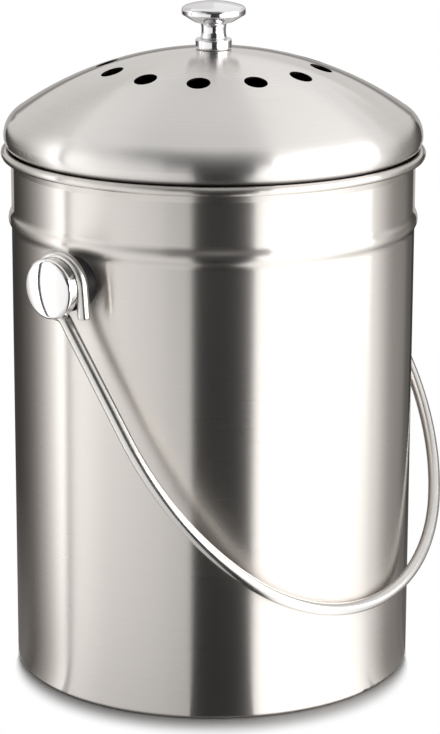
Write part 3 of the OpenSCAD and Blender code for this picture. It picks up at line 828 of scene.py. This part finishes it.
def standing_card(name, stops, distance, top, above=()):
    """A card that stands on the table, with a flap. A stop is a turn, its tone, and how many times as bright
    the flap is there beside the pail's foot. Above are heights with their strengths."""
    rows = []
    for reach, weight in FLAP_ROWS + ((distance, 0.0),):
        flap_stops = [(turn, tone * foot ** weight) for turn, tone, foot in stops]
        rows.append((reach, FLAP_HEIGHT, share_of_turn(reach, distance), flap_stops))
    for height, strength in above + ((top, above[-1][1] if above else 1.0),):
        rows.append((distance, height, 1.0, [(turn, tone * strength) for turn, tone, foot in stops]))
    card(name, rows)


print("tools made: card, hung_card and standing_card")

# %% [markdown]
# ## Cards in front
# The dark band down the middle of the pail is the mirror image of a black card that stands between the pail
# and the camera, which looks through it. A black and a grey card hang a little nearer to the pail; the rim,
# the bead and the dome's lower edge mirror them. To the left a tall pale card gives the broad light grey. To
# the right a white sheet on the table carries the white band of the softbox down to the foot.

# %% Set up the front
standing_card(
    "front_black_card",
    ((-11, 0.12, 1), (-8, 0.045, 1), (0, 0.033, 1), (11, 0.04, 1), (17.5, 0.075, 1), (21.5, 0.3, 1)),
    distance=0.60, top=0.53, above=((0.10, 1.0), (0.34, 2.0), (0.50, 1.0)))
hung_card("black_brow", ((-26, 0.3), (-19, 0.08), (0, 0.045), (22, 0.045), (30.5, 0.3)),
          ((0.59, 0.25, 1.0), (0.59, 0.53, 1.0)))
hung_card("grey_brow", ((-60, 1.1), (-48, 0.88), (-36, 0.68), (-26, 0.46)),
          ((0.58, 0.27, 1.0), (0.58, 0.60, 1.0)))
standing_card("left_front_card", ((-82.7, 1.65, 0.6), (-60, 1.2, 0.64), (-30, 1.04, 0.66), (-11, 0.92, 0.66)),
              distance=0.75, top=0.60)

RIGHT_TABLE_ROWS = ((0.0855, 1.7), (0.12, 1.7), (0.20, 1.7), (0.35, 1.6), (0.70, 1.4), (1.25, 1.3))
right_table_reach = RIGHT_TABLE_ROWS[-1][0]
card("right_table_card", [
    (reach, FLAP_HEIGHT, share_of_turn(reach, right_table_reach),
     ((21.5, 1.0), (27, 1.45), (36, tone), (74, tone), (87, 0.82 * tone), (97, 0.62 * tone)))
    for reach, tone in RIGHT_TABLE_ROWS])

# %% [markdown]
# ## Cards beside and behind
# On the left a card that falls from bright to dark makes the slim bright line with the dark edge beyond it,
# and a thin black upright makes the fine dark line next to it. On the right a card falls off more softly.
# The higher cards are for the dome and its shoulder. The cards behind show only near the outline, where
# every surface mirrors what lies beyond it. They are dark close to the table, grey above it and bright
# towards the top.

# %% Set up the sides and the back
AT_SIDE = 0.62
BACK_BANDS = ((0.06, 1.0), (0.075, 10.0), (0.27, 9.0), (0.29, 5.5), (0.32, 5.5), (0.345, 14.5), (0.50, 15.0))

standing_card(
    "left_glow_card",
    ((-150, 0.05, 3.5), (-138, 0.07, 2.8), (-122, 0.18, 0.75), (-104, 0.88, 0.5), (-92, 2.1, 0.5),
     (-86.3, 2.5, 0.5)),
    distance=AT_SIDE, top=0.22)
hung_card("left_sky_card", ((-150, 0.72), (-122, 0.74), (-108, 0.95), (-98, 1.4), (-92, 2.0), (-86.3, 2.4)),
          ((AT_SIDE, 0.22, 0.6), (AT_SIDE, 0.27, 1.0), (AT_SIDE, 0.50, 1.0)))
hung_card("left_high_card",
          ((-180, 0.86), (-166, 0.80), (-150, 0.72), (-118, 0.74), (-104, 0.95), (-86.3, 1.1)),
          ((AT_SIDE, 0.50, 1.0), (AT_SIDE, 0.84, 1.0)))
hung_card("diagonal_gleam", ((-162, 1.0), (-150, 1.2), (-100, 1.3)),
          ((AT_SIDE, 0.84, 1.0), (AT_SIDE, 0.90, 1.0)))
standing_card("dark_line", ((-86.3, 0.02, 28), (-82.7, 0.02, 28)), distance=AT_SIDE, top=0.9)
standing_card("back_left_card", ((-180, 0.05, 3), (-150, 0.05, 3.5)), distance=AT_SIDE, top=0.50,
              above=BACK_BANDS)
standing_card(
    "right_glow_card",
    ((97, 1.65, 0.64), (106, 0.98, 0.62), (115, 0.48, 0.7), (127, 0.36, 0.75), (134, 0.30, 0.85),
     (141, 0.15, 1.4), (152, 0.11, 2)),
    distance=AT_SIDE, top=0.30, above=((0.06, 1.0), (0.12, 0.66)))
hung_card("right_sky_card", ((114, 1.0), (124, 0.78), (138, 0.70), (152, 0.72)),
          ((AT_SIDE, 0.30, 0.4), (AT_SIDE, 0.36, 1.0), (AT_SIDE, 0.62, 1.1)))
standing_card("back_right_card", ((152, 0.05, 3), (158, 0.05, 3), (180, 0.05, 3)), distance=AT_SIDE, top=0.50,
              above=BACK_BANDS)

# %% [markdown]
# ## The dark ceiling
# A dome mirrors what hangs above the camera. A dim ceiling that closes in towards the top gives the front of
# the dome its soft grey, and keeps it from going as white as the backdrop.

# %% Hang the ceiling
hung_card(
    "dark_ceiling",
    ((-80, 0.9), (-62, 0.40), (-45, 0.15), (-15, 0.15), (0, 0.25), (20, 0.25), (36, 0.5), (52, 0.95)),
    ((0.75, 0.60, 1.0), (0.66, 0.85, 1.0), (0.52, 1.02, 1.15), (0.41, 1.09, 1.5)))

# %% [markdown]
# ## Two lamps
# A large softbox stands on the right, with its foot at the level of the table. It lights no matt surface and
# is only mirrored, as the broad white band. The lamp overhead does the opposite: no steel mirrors it, and it
# lights the table from a little behind the pail, so that the pail gets a short soft shadow at its foot.

# %% Set up the lamps
SOFTBOX_TURN, SOFTBOX_HALF_TURN, SOFTBOX_DISTANCE = 60.0, 37.0, 1.3
SOFTBOX_HEIGHT, SOFTBOX_BRIGHTNESS = 0.95, 3.0
OVERHEAD_HEIGHT, DEGREES_BEHIND = 2.2, 2.2
OVERHEAD_WIDTH, OVERHEAD_LENGTH, OVERHEAD_WATTS = 0.06, 0.236, 50.0


def rectangle_lamp(name, width, length, watts, place):
    lamp = bpy.data.lights.new(name, "AREA")
    lamp.shape = "RECTANGLE"
    lamp.size = width
    lamp.size_y = length
    lamp.energy = watts
    stand = bpy.data.objects.new(name, lamp)
    stand.matrix_world = place
    scene.collection.objects.link(stand)
    print(name, round(width, 2), "x", round(length, 2), "m,", round(watts, 1), "W")
    return stand


softbox_width = 2 * SOFTBOX_DISTANCE * math.tan(math.radians(SOFTBOX_HALF_TURN))
softbox_watts = SOFTBOX_BRIGHTNESS * math.pi * softbox_width * SOFTBOX_HEIGHT
softbox = rectangle_lamp(
    "right_softbox", softbox_width, SOFTBOX_HEIGHT, softbox_watts,
    Matrix.Translation(standing_at(SOFTBOX_TURN, SOFTBOX_DISTANCE, SOFTBOX_HEIGHT / 2))
    @ Matrix.Rotation(TOWARDS_CAMERA + math.radians(SOFTBOX_TURN + 90), 4, "Z")
    @ Matrix.Rotation(math.pi / 2, 4, "X"))
softbox.visible_diffuse = False
metres_behind = OVERHEAD_HEIGHT * math.tan(math.radians(DEGREES_BEHIND))
overhead = rectangle_lamp(
    "overhead_lamp", OVERHEAD_WIDTH, OVERHEAD_LENGTH, OVERHEAD_WATTS,
    Matrix.Translation(standing_at(180, metres_behind, OVERHEAD_HEIGHT))
    @ Matrix.Rotation(TOWARDS_CAMERA + math.pi / 2, 4, "Z"))
overhead.visible_glossy = False
